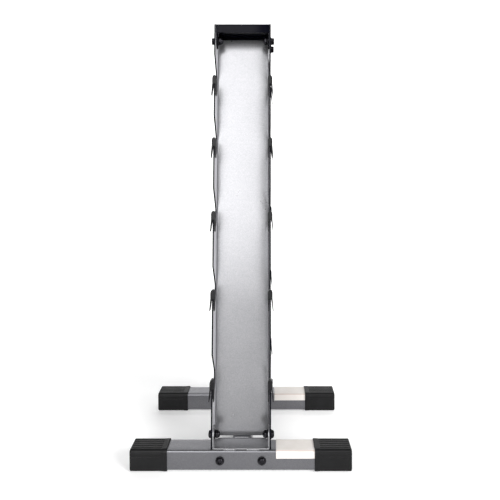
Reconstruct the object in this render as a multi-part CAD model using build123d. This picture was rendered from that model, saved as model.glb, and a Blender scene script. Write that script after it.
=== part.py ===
from build123d import *
from math import atan2, cos, sin
import os

# Free-standing A-frame rack for five pairs of dumbbells.
# Millimetres, +Z up. X runs along the two feet, Y from the front foot (-Y) to the rear foot (+Y),
# and the origin is on the floor under the middle of the rack.

# ---- overall sizes -------------------------------------------------------------------------
CUT = 1.0                   # cutting tools run this far past each face they open
HEIGHT = 860.0              # floor to the top of the head bracket
FOOT_LENGTH = 417.0         # over both end caps
FOOT_SPACING = 215.0        # centre line of the front foot to centre line of the rear foot
TUBE = 38.1                 # square tube, outside
TUBE_WALL = 1.5
TUBE_CORNER = 4.0           # outside corner radius of the square tube

# ---- end caps of the feet ------------------------------------------------------------------
CAP_WALL = 2.1              # rubber thickness around the tube; also lifts the tube off the floor
CAP_END = 4.0               # thickness of the closed end
CAP_LENGTH = 70.0
CAP_COLLAR = 10.0           # length of the thicker band at the mouth
CAP_COLLAR_RISE = 0.5
CAP_CORNER = 5.0            # outside corner radius of the cap
CAP_COLLAR_CORNER = 5.5
CAP_END_ROUND = 2.0         # rounding of the closed end
RIB_MARGIN = 6.0            # plain rubber left between the ribs, the collar and the closed end
RIB_SHIFT = 1.0             # the ribs sit this far nearer the mouth than the middle of that length
RIB_PITCH = 6.4             # grooves that run lengthwise over the top of the cap
RIB_GROOVE = 1.4
RIB_DEPTH = 0.8
RIB_ROWS = (-2, -1, 0, 1, 2)    # grooves on top, counted from the middle
SIDE_RIB_ROWS = (1, 2)          # grooves on the front and the back, counted down from the top

# ---- legs ----------------------------------------------------------------------------------
PLATE = 3.0                 # hook plates
PLATE_SPAN = 113.6          # outside face to outside face of a pair of hook plates
LEG_DEPTH = 55.0            # hook plate, front edge to back edge, square to the edge
EDGE_FOOT = 124.0           # half depth over the front edges where the plates end above the foot
EDGE_TOP = 46.5             # the same at the top of the plates
LEG_BOTTOM = 41.0           # height of the lower end of the plates
CENTRE_GAP = 1.0            # each plate stops this far from the middle plane
LEG_BLANK = 15.0            # sheet left past each end of a leg before it is trimmed level
LEG_CLIP = 200.0            # width and depth of the block that trims it, wider than a leg
PANEL_SET_BACK = 45.0       # front edge of a plate to the face of the panel between the plates
PANEL = 2.0
PANEL_TOP = 840.0
PANEL_BEND = 3.0

# ---- hooks, measured from the tip of the finger --------------------------------------------
HOOK_TIPS = [752.5, 628.5, 484.5, 333.5, 165.5]
FINGER = 9.0                # finger thickness
CRADLE_R = 16.0             # half round at the bottom of the slot
CRADLE_DROP = 14.0          # centre of the half round below the finger tip
SLOT_BACK = 6.0             # the slot's back edge turns outwards this far above the tip
MOUTH = 47.0                # height of the mouth at the front edge
MOUTH_CUT = 5.0             # the slot's outline runs this far past the front edge
LIP_R = 6.0                 # rounding where the mouth meets the front edge
TURN_R = 12.0               # rounding where the slot's back edge turns outwards
CORNER_R = 4.0              # rounding of the plate's own corners

# ---- hook caps -----------------------------------------------------------------------------
HOOK_CAP_HALF = 5.0
HOOK_CAP_WALL = 2.5
HOOK_CAP_TOP = 2.5
HOOK_CAP_SKIRT = 38.0       # skirt length below the finger tip
HOOK_CAP_POCKET = 14.0      # the pocket around the finger is closed front and back to here
HOOK_CAP_SHOULDER = 4.0     # the domed crown starts this far below the finger tip
HOOK_CAP_BEND = 6.0         # the skirts' inner faces turn outwards this far below the pocket
HOOK_CAP_GAP = 1.0          # gap between the outer skirt and the plate at that bend
HOOK_CAP_INNER_GAP = 0.3    # the same for the inner skirt
HOOK_CAP_FLARE = 1.4        # how far the outer skirt's lower end stands out
HOOK_CAP_TUCK = 0.2         # how far the inner skirt's lower end stands in
HOOK_CAP_LIP = 1.9          # thickness of a skirt's lower end
HOOK_CAP_RELIEF = 2.0       # the skirts stop this far short of the slot behind the finger
FINGER_REACH = 60.0         # length of finger taken out of a cap, more than the cap is long

# ---- brackets, stretcher and labels --------------------------------------------------------
SHEET = 2.5                 # head bracket and foot brackets
HEAD_DEPTH = 91.0
HEAD_LIP = 17.5
HEAD_ROUND = 2.0
BRACKET_ROUND = 2.0
TAB_WIDTH = 30.0
FOOT_BRACKET_WIDTH = 32.0
FLANGE = 4.0
FLANGE_WIDTH = 100.0
FLANGE_CORNER = 6.0
LABEL = 0.3
LABEL_FROM = 66.0
LABEL_DOWN = 15.0           # how far the label comes down the front of the foot
LABEL_BACK_GAP = 2.5        # bare steel left on top of the foot behind the label

# ---- fasteners, M8 -------------------------------------------------------------------------
BOLT_R = 4.0
HOLE_R = 4.25
LEG_BOLT_Z = 61.0
TOP_BOLT_Y = 28.0
TOP_BOLT_Z = 830.0
STRETCHER_BOLT_X = 39.35
WASHER_R = 8.2
WASHER = 1.6
NUT_FLATS = 13.0
NUT = 8.0
HEX_HEAD = 5.3
BUTTON_R = 7.0
BUTTON = 4.4
BUTTON_DOME = 3.6
SOCKET_FLATS = 5.0
SOCKET_DEPTH = 2.4
HEX_CHAMFER = 0.7
NUT_COLLAR_R = 5.4
NUT_COLLAR = 2.0
BOLT_END = 1.2              # thread that shows past a nut

# ---- derived -------------------------------------------------------------------------------
FOOT_Y = FOOT_SPACING / 2
TUBE_BOTTOM = CAP_WALL
TUBE_TOP = TUBE_BOTTOM + TUBE
TUBE_MID = TUBE_BOTTOM + TUBE / 2
FOOT_INNER_Y = FOOT_Y - TUBE / 2
OUTER_X = PLATE_SPAN / 2
INNER_X = OUTER_X - PLATE
LEAN = atan2(EDGE_FOOT - EDGE_TOP, HEIGHT - LEG_BOTTOM)
SIDES = {"front": -1, "rear": 1}
HANDS = {"left": -1, "right": 1}

nodes = {}


def leg_plane(side, x=0.0):
    """Plane of a leaning leg: local x points out of the leg, local y runs up its front edge."""
    return Plane(
        origin=(x, side * EDGE_FOOT, LEG_BOTTOM),
        x_dir=(0, side * cos(LEAN), sin(LEAN)),
        z_dir=(side, 0, 0),
    )


def leg_clip(side, low, high):
    """Block on one side of the middle plane, between two heights."""
    return Pos(0, side * (CENTRE_GAP + LEG_CLIP / 2), (low + high) / 2) * Box(LEG_CLIP, LEG_CLIP, high - low)


def along_x(y, z):
    return lambda x: Pos(x, y, z) * Rot(0, 90, 0)


def hex_prism(flats, height, bore):
    body = extrude(RegularPolygon(flats / 2, 6, major_radius=False), height)
    ring = Pos(0, 0, height / 2) * Cylinder(flats / 2 + HEX_CHAMFER, height)
    body = body & chamfer(ring.edges(), HEX_CHAMFER)
    if bore:
        body -= Pos(0, 0, height / 2) * Cylinder(bore, height + 2 * CUT)
    return body


def hex_bolt(length):
    """Hex head above Z = 0, shank below it."""
    return hex_prism(NUT_FLATS, HEX_HEAD, 0) + Pos(0, 0, -length / 2) * Cylinder(BOLT_R, length)


def button_bolt(length):
    """Domed socket head above Z = 0, shank below it."""
    head = Pos(0, 0, BUTTON / 2) * Cylinder(BUTTON_R, BUTTON)
    head = fillet(head.edges().sort_by(Axis.Z)[-1:], BUTTON_DOME)
    socket = extrude(RegularPolygon(SOCKET_FLATS / 2, 6, major_radius=False), BUTTON)
    socket = Pos(0, 0, BUTTON - SOCKET_DEPTH) * socket
    return head - socket + Pos(0, 0, -length / 2) * Cylinder(BOLT_R, length)


def washer():
    return Pos(0, 0, WASHER / 2) * (Cylinder(WASHER_R, WASHER) - Cylinder(HOLE_R, WASHER))


def nut():
    """Locking nut: hexagon with the narrower round collar on its outer end."""
    collar = Cylinder(NUT_COLLAR_R, NUT_COLLAR) - Cylinder(BOLT_R, NUT_COLLAR)
    body = hex_prism(NUT_FLATS, NUT - NUT_COLLAR, BOLT_R)
    return body + Pos(0, 0, NUT - NUT_COLLAR / 2) * collar


# ---- hook plates ---------------------------------------------------------------------------
def cradle_slot(tip):
    """J-shaped slot: a half round behind the finger and a mouth that opens upwards and outwards."""
    back = -FINGER - 2 * CRADLE_R
    shape = Polygon(
        (-FINGER, tip - CRADLE_DROP),
        (-FINGER, tip - FINGER / 2),
        (MOUTH_CUT, tip - FINGER / 2),
        (MOUTH_CUT, tip + MOUTH + MOUTH_CUT),
        (back, tip + SLOT_BACK),
        (back, tip - CRADLE_DROP),
        align=None,
    )
    shape += Pos(-FINGER - CRADLE_R, tip - CRADLE_DROP) * Circle(CRADLE_R)
    return shape - Pos(-FINGER / 2, tip - FINGER / 2) * Circle(FINGER / 2)


def along_leg(height):
    return (height - LEG_BOTTOM) / cos(LEAN)


def hook_plate(side, hand):
    plane = leg_plane(side, hand * (INNER_X + PLATE / 2))
    length = along_leg(HEIGHT) + 2 * LEG_BLANK
    blank = Pos(-LEG_DEPTH / 2, length / 2 - LEG_BLANK) * Rectangle(LEG_DEPTH, length)
    for height in HOOK_TIPS:
        blank -= cradle_slot(along_leg(height))
    plate = extrude(plane * blank, PLATE / 2, both=True)
    plate = plate & leg_clip(side, LEG_BOTTOM, HEIGHT)
    for height in HOOK_TIPS:
        tip = along_leg(height)
        lip = plane.from_local_coords((0, tip + MOUTH, 0))
        turn = plane.from_local_coords((-FINGER - 2 * CRADLE_R, tip + SLOT_BACK, 0))
        for point, radius in ((lip, LIP_R), (turn, TURN_R)):
            edge = plate.edges().filter_by(Axis.X).sort_by_distance(point)[0]
            plate = fillet(edge, radius)
    for y, z in ((side * FOOT_Y, LEG_BOLT_Z), (side * TOP_BOLT_Y, TOP_BOLT_Z)):
        plate -= along_x(y, z)(hand * (INNER_X + PLATE / 2)) * Cylinder(HOLE_R, PLATE + 2 * CUT)
    heel = plane.from_local_coords((-LEG_DEPTH, 0, 0))
    nose = (0, side * EDGE_TOP, HEIGHT)
    ends = [plate.edges().filter_by(Axis.X).sort_by_distance(point)[0] for point in (heel, nose)]
    return fillet(ends, CORNER_R)


# ---- panels --------------------------------------------------------------------------------
def panel(side):
    """Shallow channel between the plates: face outwards, short flanges turned back."""
    plane = leg_plane(side)
    length = along_leg(HEIGHT) + 2 * LEG_BLANK
    depth = LEG_DEPTH - PANEL_SET_BACK
    outer = Box(depth, length, 2 * INNER_X)
    bends = outer.edges().filter_by(Axis.Y).group_by(Axis.X)[-1]
    outer = fillet(bends, PANEL_BEND)
    inner = Box(depth, length + 2 * CUT, 2 * (INNER_X - PANEL))
    bends = inner.edges().filter_by(Axis.Y).group_by(Axis.X)[-1]
    inner = fillet(bends, PANEL_BEND - PANEL)
    channel = outer - Pos(-PANEL, 0, 0) * inner
    channel = plane.location * Pos(-PANEL_SET_BACK - depth / 2, length / 2 - LEG_BLANK, 0) * channel
    return channel & leg_clip(side, LEG_BOTTOM, PANEL_TOP)


for end, side in SIDES.items():
    for hand_name, hand in HANDS.items():
        nodes[f"{end}_{hand_name}_hook_plate"] = hook_plate(side, hand)
    nodes[f"{end}_panel"] = panel(side)


# ---- hook caps -----------------------------------------------------------------------------
def hook_cap(side, hand, height):
    """Moulded cap pushed over a finger: round top, closed pocket and two flaring skirts."""
    plane = leg_plane(side, hand * (INNER_X + PLATE / 2))
    half = HOOK_CAP_HALF
    low = -HOOK_CAP_SKIRT
    pocket = -HOOK_CAP_POCKET
    shoulder = -HOOK_CAP_SHOULDER
    gap = PLATE / 2
    edge = Polyline(
        (half, shoulder),
        (half, pocket),
        (half + HOOK_CAP_FLARE, low),
        (half + HOOK_CAP_FLARE - HOOK_CAP_LIP, low),
        (gap + HOOK_CAP_GAP, pocket - HOOK_CAP_BEND),
        (gap, pocket),
        (-gap, pocket),
        (-gap - HOOK_CAP_INNER_GAP, pocket - HOOK_CAP_BEND),
        (-half + HOOK_CAP_TUCK + HOOK_CAP_LIP, low),
        (-half + HOOK_CAP_TUCK, low),
        (-half, pocket),
        (-half, shoulder),
    )
    crown = ThreePointArc((-half, shoulder), (0, HOOK_CAP_TOP), (half, shoulder))
    section = make_face(edge + crown)
    # The section lies across the finger and is extruded through the finger's thickness.
    tip = along_leg(height)
    across = Vector(hand, 0, 0)
    origin = plane.from_local_coords((0, tip, 0))
    frame = Plane(origin=origin, x_dir=across, z_dir=across.cross(plane.y_dir))
    outwards = frame.z_dir.dot(plane.x_dir)
    body = extrude(frame * section, outwards * HOOK_CAP_WALL)
    body += extrude(frame * section, -outwards * (FINGER + HOOK_CAP_WALL))
    straight = FINGER_REACH - FINGER / 2
    finger = Pos(-FINGER / 2, tip - FINGER_REACH + straight / 2, 0) * Box(FINGER, straight, PLATE)
    finger += Pos(-FINGER / 2, tip - FINGER / 2, 0) * Cylinder(FINGER / 2, PLATE)
    body -= plane.location * finger
    # Below the pocket the skirts stop short of the slot behind the finger.
    relief = HOOK_CAP_WALL + HOOK_CAP_RELIEF
    behind = Box(relief, 2 * HOOK_CAP_SKIRT, 4 * HOOK_CAP_HALF)
    middle = HOOK_CAP_RELIEF - FINGER - relief / 2
    body -= plane.location * Pos(middle, tip + pocket - HOOK_CAP_SKIRT, 0) * behind
    return body


for end, side in SIDES.items():
    for hand_name, hand in HANDS.items():
        for number, height in enumerate(HOOK_TIPS, start=1):
            nodes[f"{end}_{hand_name}_hook_cap_{number}"] = hook_cap(side, hand, height)


# ---- head bracket --------------------------------------------------------------------------
head = Pos(0, 0, HEIGHT - SHEET / 2) * Box(2 * INNER_X, HEAD_DEPTH, SHEET)
for side in SIDES.values():
    lip_y = side * (HEAD_DEPTH - SHEET) / 2
    head += Pos(0, lip_y, HEIGHT - HEAD_LIP / 2) * Box(2 * INNER_X, SHEET, HEAD_LIP)
    for hand in HANDS.values():
        tab_x = hand * (INNER_X - SHEET / 2)
        drop = HEIGHT - TOP_BOLT_Z
        tab = Pos(tab_x, side * TOP_BOLT_Y, HEIGHT - drop / 2) * Box(SHEET, TAB_WIDTH, drop)
        tab += along_x(side * TOP_BOLT_Y, TOP_BOLT_Z)(tab_x) * Cylinder(TAB_WIDTH / 2, SHEET)
        head += tab
        head -= along_x(side * TOP_BOLT_Y, TOP_BOLT_Z)(tab_x) * Cylinder(HOLE_R, SHEET + 2 * CUT)
top_edges = head.edges().filter_by(Axis.X).group_by(Axis.Z)[-1]
nodes["head_bracket"] = fillet(top_edges, HEAD_ROUND)


# ---- feet ----------------------------------------------------------------------------------
def square_bar(size, corner, length):
    return extrude(Plane.YZ * RectangleRounded(size, size, corner), length / 2, both=True)


def foot_tube(side):
    length = FOOT_LENGTH - 2 * CAP_END
    tube = square_bar(TUBE, TUBE_CORNER, length)
    tube -= square_bar(TUBE - 2 * TUBE_WALL, TUBE_CORNER - TUBE_WALL, length + 2 * CUT)
    tube = Pos(0, side * FOOT_Y, TUBE_MID) * tube
    for hand in HANDS.values():
        hole = Pos(hand * STRETCHER_BOLT_X, side * FOOT_Y, TUBE_MID) * Rot(90, 0, 0)
        tube -= hole * Cylinder(HOLE_R, TUBE + 2 * CUT)
    return tube


def foot_cap(side, hand):
    """Push-on rubber cap: grooves along the top, a thicker collar at the mouth, closed outer end."""
    outside = TUBE + 2 * CAP_WALL
    cap = square_bar(outside, CAP_CORNER, CAP_LENGTH)
    cap = fillet(cap.faces().sort_by(Axis.X)[-1].edges(), CAP_END_ROUND)
    collar_size = outside + 2 * CAP_COLLAR_RISE
    collar = square_bar(collar_size, CAP_COLLAR_CORNER, CAP_COLLAR)
    collar = Pos(-(CAP_LENGTH - CAP_COLLAR) / 2, 0, 0) * collar
    collar &= Pos(0, 0, CAP_COLLAR_RISE) * Box(CAP_LENGTH, 2 * outside, collar_size)
    cap += collar
    ribbed = CAP_LENGTH - CAP_COLLAR - RIB_MARGIN
    rib_x = CAP_COLLAR / 2 - RIB_SHIFT
    for row in RIB_ROWS:
        groove = Box(ribbed, RIB_GROOVE, 2 * RIB_DEPTH)
        cap -= Pos(rib_x, row * RIB_PITCH, outside / 2) * groove
    for face in (-1, 1):
        for row in SIDE_RIB_ROWS:
            groove = Box(ribbed, 2 * RIB_DEPTH, RIB_GROOVE)
            height = outside / 2 - RIB_PITCH * row
            cap -= Pos(rib_x, face * outside / 2, height) * groove
    pocket = square_bar(TUBE, TUBE_CORNER, CAP_LENGTH)
    cap -= Pos(-CAP_END, 0, 0) * pocket
    if hand < 0:
        cap = Rot(0, 0, 180) * cap
    return Pos(hand * (FOOT_LENGTH - CAP_LENGTH) / 2, side * FOOT_Y, TUBE_MID) * cap


def foot_bracket(side):
    """U-shaped bracket welded to the top of the foot; its ears stand inside the hook plates."""
    base_y = side * FOOT_Y
    bracket = Pos(0, base_y, TUBE_TOP + SHEET / 2) * Box(2 * INNER_X, FOOT_BRACKET_WIDTH, SHEET)
    rise = LEG_BOLT_Z - TUBE_TOP
    for hand in HANDS.values():
        ear_x = hand * (INNER_X - SHEET / 2)
        ear = Pos(ear_x, base_y, TUBE_TOP + rise / 2) * Box(SHEET, FOOT_BRACKET_WIDTH, rise)
        ear += along_x(base_y, LEG_BOLT_Z)(ear_x) * Cylinder(FOOT_BRACKET_WIDTH / 2, SHEET)
        bracket += ear
        bracket -= along_x(base_y, LEG_BOLT_Z)(ear_x) * Cylinder(HOLE_R, SHEET + 2 * CUT)
    corners = bracket.edges().filter_by(Axis.Y).group_by(Axis.Z)[0]
    return fillet(corners, BRACKET_ROUND)


def foot_label(side):
    """Blank printed film wrapped over the top of the foot and a little way down its front."""
    length = FOOT_LENGTH / 2 - CAP_LENGTH - LABEL_FROM
    wrap = square_bar(TUBE + 2 * LABEL, TUBE_CORNER + LABEL, length)
    wrap -= square_bar(TUBE, TUBE_CORNER, length + 2 * CUT)
    front, back = -(TUBE / 2 + LABEL + CUT), TUBE / 2 - LABEL_BACK_GAP
    low, high = TUBE / 2 - LABEL_DOWN, TUBE / 2 + LABEL + CUT
    wrap &= Pos(0, (front + back) / 2, (low + high) / 2) * Box(length, back - front, high - low)
    return Pos(LABEL_FROM + length / 2, side * FOOT_Y, TUBE_MID) * wrap


for end, side in SIDES.items():
    nodes[f"{end}_foot_tube"] = foot_tube(side)
    nodes[f"{end}_foot_bracket"] = foot_bracket(side)
    nodes[f"{end}_foot_label"] = foot_label(side)
    for hand_name, hand in HANDS.items():
        nodes[f"{end}_{hand_name}_foot_cap"] = foot_cap(side, hand)


# ---- stretcher between the feet ------------------------------------------------------------
span = 2 * (FOOT_INNER_Y - FLANGE)
stretcher = extrude(Plane.XZ * RectangleRounded(TUBE, TUBE, TUBE_CORNER), span / 2, both=True)
bore_size = TUBE - 2 * TUBE_WALL
bore = RectangleRounded(bore_size, bore_size, TUBE_CORNER - TUBE_WALL)
stretcher -= extrude(Plane.XZ * bore, span / 2 + CUT, both=True)
nodes["stretcher_tube"] = Pos(0, 0, TUBE_MID) * stretcher
for end, side in SIDES.items():
    plate_y = side * (FOOT_INNER_Y - FLANGE / 2)
    flange = Box(FLANGE_WIDTH, FLANGE, TUBE)
    flange = fillet(flange.edges().filter_by(Axis.Y), FLANGE_CORNER)
    for hand in HANDS.values():
        flange -= Pos(hand * STRETCHER_BOLT_X, 0, 0) * Rot(90, 0, 0) * Cylinder(HOLE_R, FLANGE + 2 * CUT)
    nodes[f"{end}_stretcher_flange"] = Pos(0, plate_y, TUBE_MID) * flange


# ---- fasteners -----------------------------------------------------------------------------
def side_set(y, z, bolt):
    """Bolt, washers and nut through a hook plate and the bracket tab inside it, on both sides."""
    bolts, washers, nuts = [], [], []
    for hand in HANDS.values():
        turn = Rot(0, 90 * hand, 0)
        inner_face = INNER_X - SHEET
        bolts.append(Pos(hand * (OUTER_X + WASHER), y, z) * turn * bolt)
        washers.append(Pos(hand * OUTER_X, y, z) * turn * washer())
        washers.append(Pos(hand * (inner_face - WASHER), y, z) * turn * washer())
        nuts.append(Pos(hand * (inner_face - WASHER), y, z) * turn * Rot(180, 0, 0) * nut())
    return bolts, washers, nuts


grip = PLATE + SHEET + 2 * WASHER + NUT + BOLT_END
groups = {"head": [], "leg": [], "stretcher": []}
for side in SIDES.values():
    groups["head"].append(side_set(side * TOP_BOLT_Y, TOP_BOLT_Z, hex_bolt(grip)))
    groups["leg"].append(side_set(side * FOOT_Y, LEG_BOLT_Z, button_bolt(grip)))
    outer_y = FOOT_Y + TUBE / 2
    inner_y = FOOT_INNER_Y - FLANGE
    through = TUBE + FLANGE + 2 * WASHER + NUT + BOLT_END
    for hand in HANDS.values():
        turn = Rot(-90 * side, 0, 0)
        x = hand * STRETCHER_BOLT_X
        bolt = Pos(x, side * (outer_y + WASHER), TUBE_MID) * turn * button_bolt(through)
        outer = Pos(x, side * outer_y, TUBE_MID) * turn * washer()
        inner = Pos(x, side * (inner_y - WASHER), TUBE_MID) * turn * washer()
        lock = Pos(x, side * (inner_y - WASHER), TUBE_MID) * turn * Rot(180, 0, 0) * nut()
        groups["stretcher"].append(([bolt], [outer, inner], [lock]))
for name, sets in groups.items():
    nodes[f"{name}_bolts"] = Compound([s for one in sets for s in one[0]])
    nodes[f"{name}_washers"] = Compound([s for one in sets for s in one[1]])
    nodes[f"{name}_nuts"] = Compound([s for one in sets for s in one[2]])


# ---- one file per piece --------------------------------------------------------------------
os.makedirs("parts", exist_ok=True)
for name, shape in nodes.items():
    export_step(shape, f"parts/{name}.step")
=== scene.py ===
# %% [markdown]
# # A dumbbell rack, piece by piece
# The rack is an A-frame of sheet steel: four black hook plates carry five pairs of dumbbells, two silver
# panels close the gap between the plates, and two square tubes with rubber ends stand on the floor. The CAD
# model has every size. Here each piece is made again with the soft edges, ribs, welds and coatings that
# light shows, in the same place and close to the same size: the foot caps' collars stand half a millimetre
# prouder, and the weld beads are new.

import bmesh
import bpy
import numpy as np
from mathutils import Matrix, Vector


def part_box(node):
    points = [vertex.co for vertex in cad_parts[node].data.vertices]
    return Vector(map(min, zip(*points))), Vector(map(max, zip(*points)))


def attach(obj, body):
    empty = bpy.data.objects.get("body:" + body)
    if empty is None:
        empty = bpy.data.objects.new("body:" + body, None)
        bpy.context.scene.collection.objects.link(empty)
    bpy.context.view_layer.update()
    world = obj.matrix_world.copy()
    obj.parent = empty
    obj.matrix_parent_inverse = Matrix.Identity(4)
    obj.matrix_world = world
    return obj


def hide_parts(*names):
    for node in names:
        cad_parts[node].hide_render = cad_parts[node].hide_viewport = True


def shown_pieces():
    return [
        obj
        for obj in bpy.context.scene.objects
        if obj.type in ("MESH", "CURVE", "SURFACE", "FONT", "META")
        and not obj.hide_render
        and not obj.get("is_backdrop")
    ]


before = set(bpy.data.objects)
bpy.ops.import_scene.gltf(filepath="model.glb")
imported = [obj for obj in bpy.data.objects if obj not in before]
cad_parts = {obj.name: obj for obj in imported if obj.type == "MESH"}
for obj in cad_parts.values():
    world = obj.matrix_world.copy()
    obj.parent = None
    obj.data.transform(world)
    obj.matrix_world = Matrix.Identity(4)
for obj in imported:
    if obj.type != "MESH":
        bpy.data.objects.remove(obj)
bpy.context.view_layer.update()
scene = bpy.context.scene

# %% [markdown]
# Workshop sizes are in millimetres, so every shape below is worked out in millimetres and turned into
# Blender's metres once, when it becomes a mesh. Most places come from the CAD nodes' own boxes. What a box
# doesn't tell, such as the heights of the hooks and the shape of a slot, repeats the CAD model's values.

# %% Sizes taken from the frame
MM = 0.001
SIDES = {"front": -1, "rear": 1}
HANDS = {"left": -1, "right": 1}


def box_mm(node):
    """Lowest and highest corner of a CAD node, in millimetres."""
    low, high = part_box(node)
    return np.array(low) / MM, np.array(high) / MM


plate_low, plate_high = box_mm("rear_right_hook_plate")
tube_low, tube_high = box_mm("rear_foot_tube")
head_low, head_high = box_mm("head_bracket")
INNER_X, OUTER_X = plate_low[0], plate_high[0]
LEG_LOW, LEG_TOP = plate_low[2], plate_high[2]
EDGE_FOOT = plate_high[1]
EDGE_TOP = 46.5
CENTRE_GAP = plate_low[1]
LEG_DEPTH = 55.0
FOOT_Y = (tube_low[1] + tube_high[1]) / 2
TUBE = tube_high[1] - tube_low[1]
TUBE_MID = (tube_low[2] + tube_high[2]) / 2
TUBE_TOP = tube_high[2]
TUBE_CORNER = 4.0
SHEET = 2.5
BEND = 3.4
LEAN = np.arctan2(EDGE_FOOT - EDGE_TOP, LEG_TOP - LEG_LOW)
print(f"plates {INNER_X:.1f} to {OUTER_X:.1f} mm from the middle, lean {np.degrees(LEAN):.2f} degrees")
print(f"foot tube {TUBE:.1f} mm square, centred {FOOT_Y:.1f} mm out and {TUBE_MID:.2f} mm up")

# %% [markdown]
# ## Camera, floor and light
# The rack is seen from its end, on a white floor. The camera looks slightly down from a little above the
# middle of the rack's height. It is set a little to the right and stands less than a metre away.

# %% Camera
camera = bpy.data.objects.new("camera", bpy.data.cameras.new("camera"))
scene.collection.objects.link(camera)
scene.camera = camera
CAMERA_PITCH = np.radians(1.59)
camera.location = (0.0503, -0.932, 0.551)
camera.rotation_euler = (np.pi / 2 - CAMERA_PITCH, 0.0, 0.0)
camera.data.sensor_width = 36.0
camera.data.lens = 31.51
camera.data.shift_x = -0.0353
camera.data.shift_y = -0.120
camera.data.clip_start = 0.05
print("camera looks down by", round(float(np.degrees(CAMERA_PITCH)), 1), "degrees")

# %% [markdown]
# The floor is one sheet that curves up behind the rack, as a paper roll does in a studio, so no horizon
# line shows. It is a profile in depth and height carried across the width.

# %% Floor


def floor_grid(half_width, near, far, rise, bend, steps=24):
    """Flat from near to far - bend, then a quarter circle of radius bend, then straight up to rise.
    Every profile point is repeated at -half_width and +half_width."""
    angle = np.linspace(0, np.pi / 2, steps)
    profile_y = np.concatenate([[near], far - bend + bend * np.sin(angle), [far]])
    profile_z = np.concatenate([[0.0], bend - bend * np.cos(angle), [rise]])
    width = np.broadcast_to([-half_width, half_width], (len(profile_y), 2))
    depth = np.broadcast_to(profile_y[:, None], width.shape)
    height = np.broadcast_to(profile_z[:, None], width.shape)
    return np.stack([width, depth, height], axis=-1)


def grid_faces(rows, columns, closed=True):
    """Four-cornered faces of a grid stored row by row. Closed: the last column meets the first."""
    row = np.arange(rows - 1)[:, None] * columns
    column = np.arange(columns if closed else columns - 1)[None, :]
    after = (column + 1) % columns
    corners = [row + column, row + after, row + columns + after, row + columns + column]
    return np.stack(corners, axis=-1).reshape(-1, 4).tolist()


floor_points = floor_grid(6.0, -6.0, 4.0, 5.0, 1.5)
floor_mesh = bpy.data.meshes.new("floor")
floor_faces = grid_faces(len(floor_points), 2, closed=False)
floor_mesh.from_pydata(floor_points.reshape(-1, 3).tolist(), [], floor_faces)
floor_mesh.shade_smooth()
floor = bpy.data.objects.new("floor", floor_mesh)
scene.collection.objects.link(floor)
floor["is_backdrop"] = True
print("floor", len(floor_mesh.vertices), "points")

# %% [markdown]
# One tall soft light stands in front and reaches down nearly to the floor. The leaning panel mirrors it at
# its upper end and the floor at its lower end, which is what shades it from near white to mid grey. The
# second, on the right, reaches the inside of the left plates, leaves the panel's right side in the shade
# of the right plates and lays the soft shadows to the left, and one behind the rack whitens the backdrop.

# %% Lights


def softbox(name, place, target, size, watts):
    """Rectangular area light at place, turned so that it shines at target."""
    light = bpy.data.lights.new(name, "AREA")
    light.shape = "RECTANGLE"
    light.size, light.size_y = size
    light.energy = watts
    lamp = bpy.data.objects.new(name, light)
    lamp.location = place
    lamp.rotation_euler = (Vector(target) - Vector(place)).to_track_quat("-Z", "Y").to_euler()
    scene.collection.objects.link(lamp)


softbox("front_softbox", (-0.5, -2.4, 1.36), (0.0, 0.0, 0.9), (1.7, 2.3), 60)
softbox("right_softbox", (2.0, -1.7, 1.5), (0.0, 0.0, 0.45), (1.3, 1.6), 72)
softbox("backdrop_softbox", (0.0, 1.3, 2.6), (0.0, 4.0, 0.9), (3.5, 1.0), 105)
world = bpy.data.worlds.new("studio")
world.use_nodes = True
background = world.node_tree.nodes["Background"]
background.inputs["Color"].default_value = (1.0, 1.0, 1.0, 1.0)
background.inputs["Strength"].default_value = 0.25
scene.world = world
scene.view_settings.view_transform = "Standard"

# %% [markdown]
# ## Finishes
# A finish starts from what the real surface is. Colours are picked as screen values and turned to linear
# light by one function, and one function adds a node, so each material below reads as a short recipe.

# %% Material helpers


def linear(code):
    """sRGB hex code as linear red, green, blue and alpha. A value v up to 0.04045 becomes v / 12.92, and any
    other ((v + 0.055) / 1.055) ** 2.4."""
    value = np.array([int(code[i : i + 2], 16) for i in (1, 3, 5)]) / 255.0
    value = np.where(value <= 0.04045, value / 12.92, ((value + 0.055) / 1.055) ** 2.4)
    return (*value.tolist(), 1.0)


def add_node(tree, kind, links=None, **settings):
    """Adds a node. A setting goes to the property of that name or else to the socket of that name, with
    underscores for spaces or s0, s1 for a socket's number. links maps a socket to another node's output."""
    node = tree.nodes.new(kind)
    sockets = {}
    for key, value in settings.items():
        if hasattr(node, key):
            setattr(node, key, value)
        else:
            sockets[key] = value
    for key, value in {**sockets, **(links or {})}.items():
        name = int(key[1:]) if key[1:].isdigit() else key.replace("_", " ")
        if isinstance(value, bpy.types.NodeSocket):
            tree.links.new(value, node.inputs[name])
        else:
            node.inputs[name].default_value = value
    return node


def new_material(name):
    """A material with an empty node tree but for its Principled shader and output."""
    material = bpy.data.materials.new(name)
    material.use_nodes = True
    tree = material.node_tree
    return material, tree, tree.nodes["Principled BSDF"]


def ramp(tree, value, low, high, first, last):
    """Maps value from low..high onto the colours first..last."""
    node = add_node(tree, "ShaderNodeValToRGB", {"Fac": value})
    node.color_ramp.elements[0].position = low
    node.color_ramp.elements[1].position = high
    node.color_ramp.elements[0].color = first
    node.color_ramp.elements[1].color = last
    return node.outputs["Color"]


def spread_of(tree, value, low, high):
    """Maps a 0..1 value onto low..high, for roughness and the like."""
    node = add_node(tree, "ShaderNodeMapRange", {"Value": value}, To_Min=low, To_Max=high)
    return node.outputs["Result"]


def per_metre(size_mm):
    """Texture scale for a pattern whose features are size_mm apart: that many of them in one metre."""
    return 1.0 / (size_mm * MM)


def object_place(tree):
    """Coordinates of the object itself, so a pattern stays fixed to it."""
    return add_node(tree, "ShaderNodeTexCoord").outputs["Object"]


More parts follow.
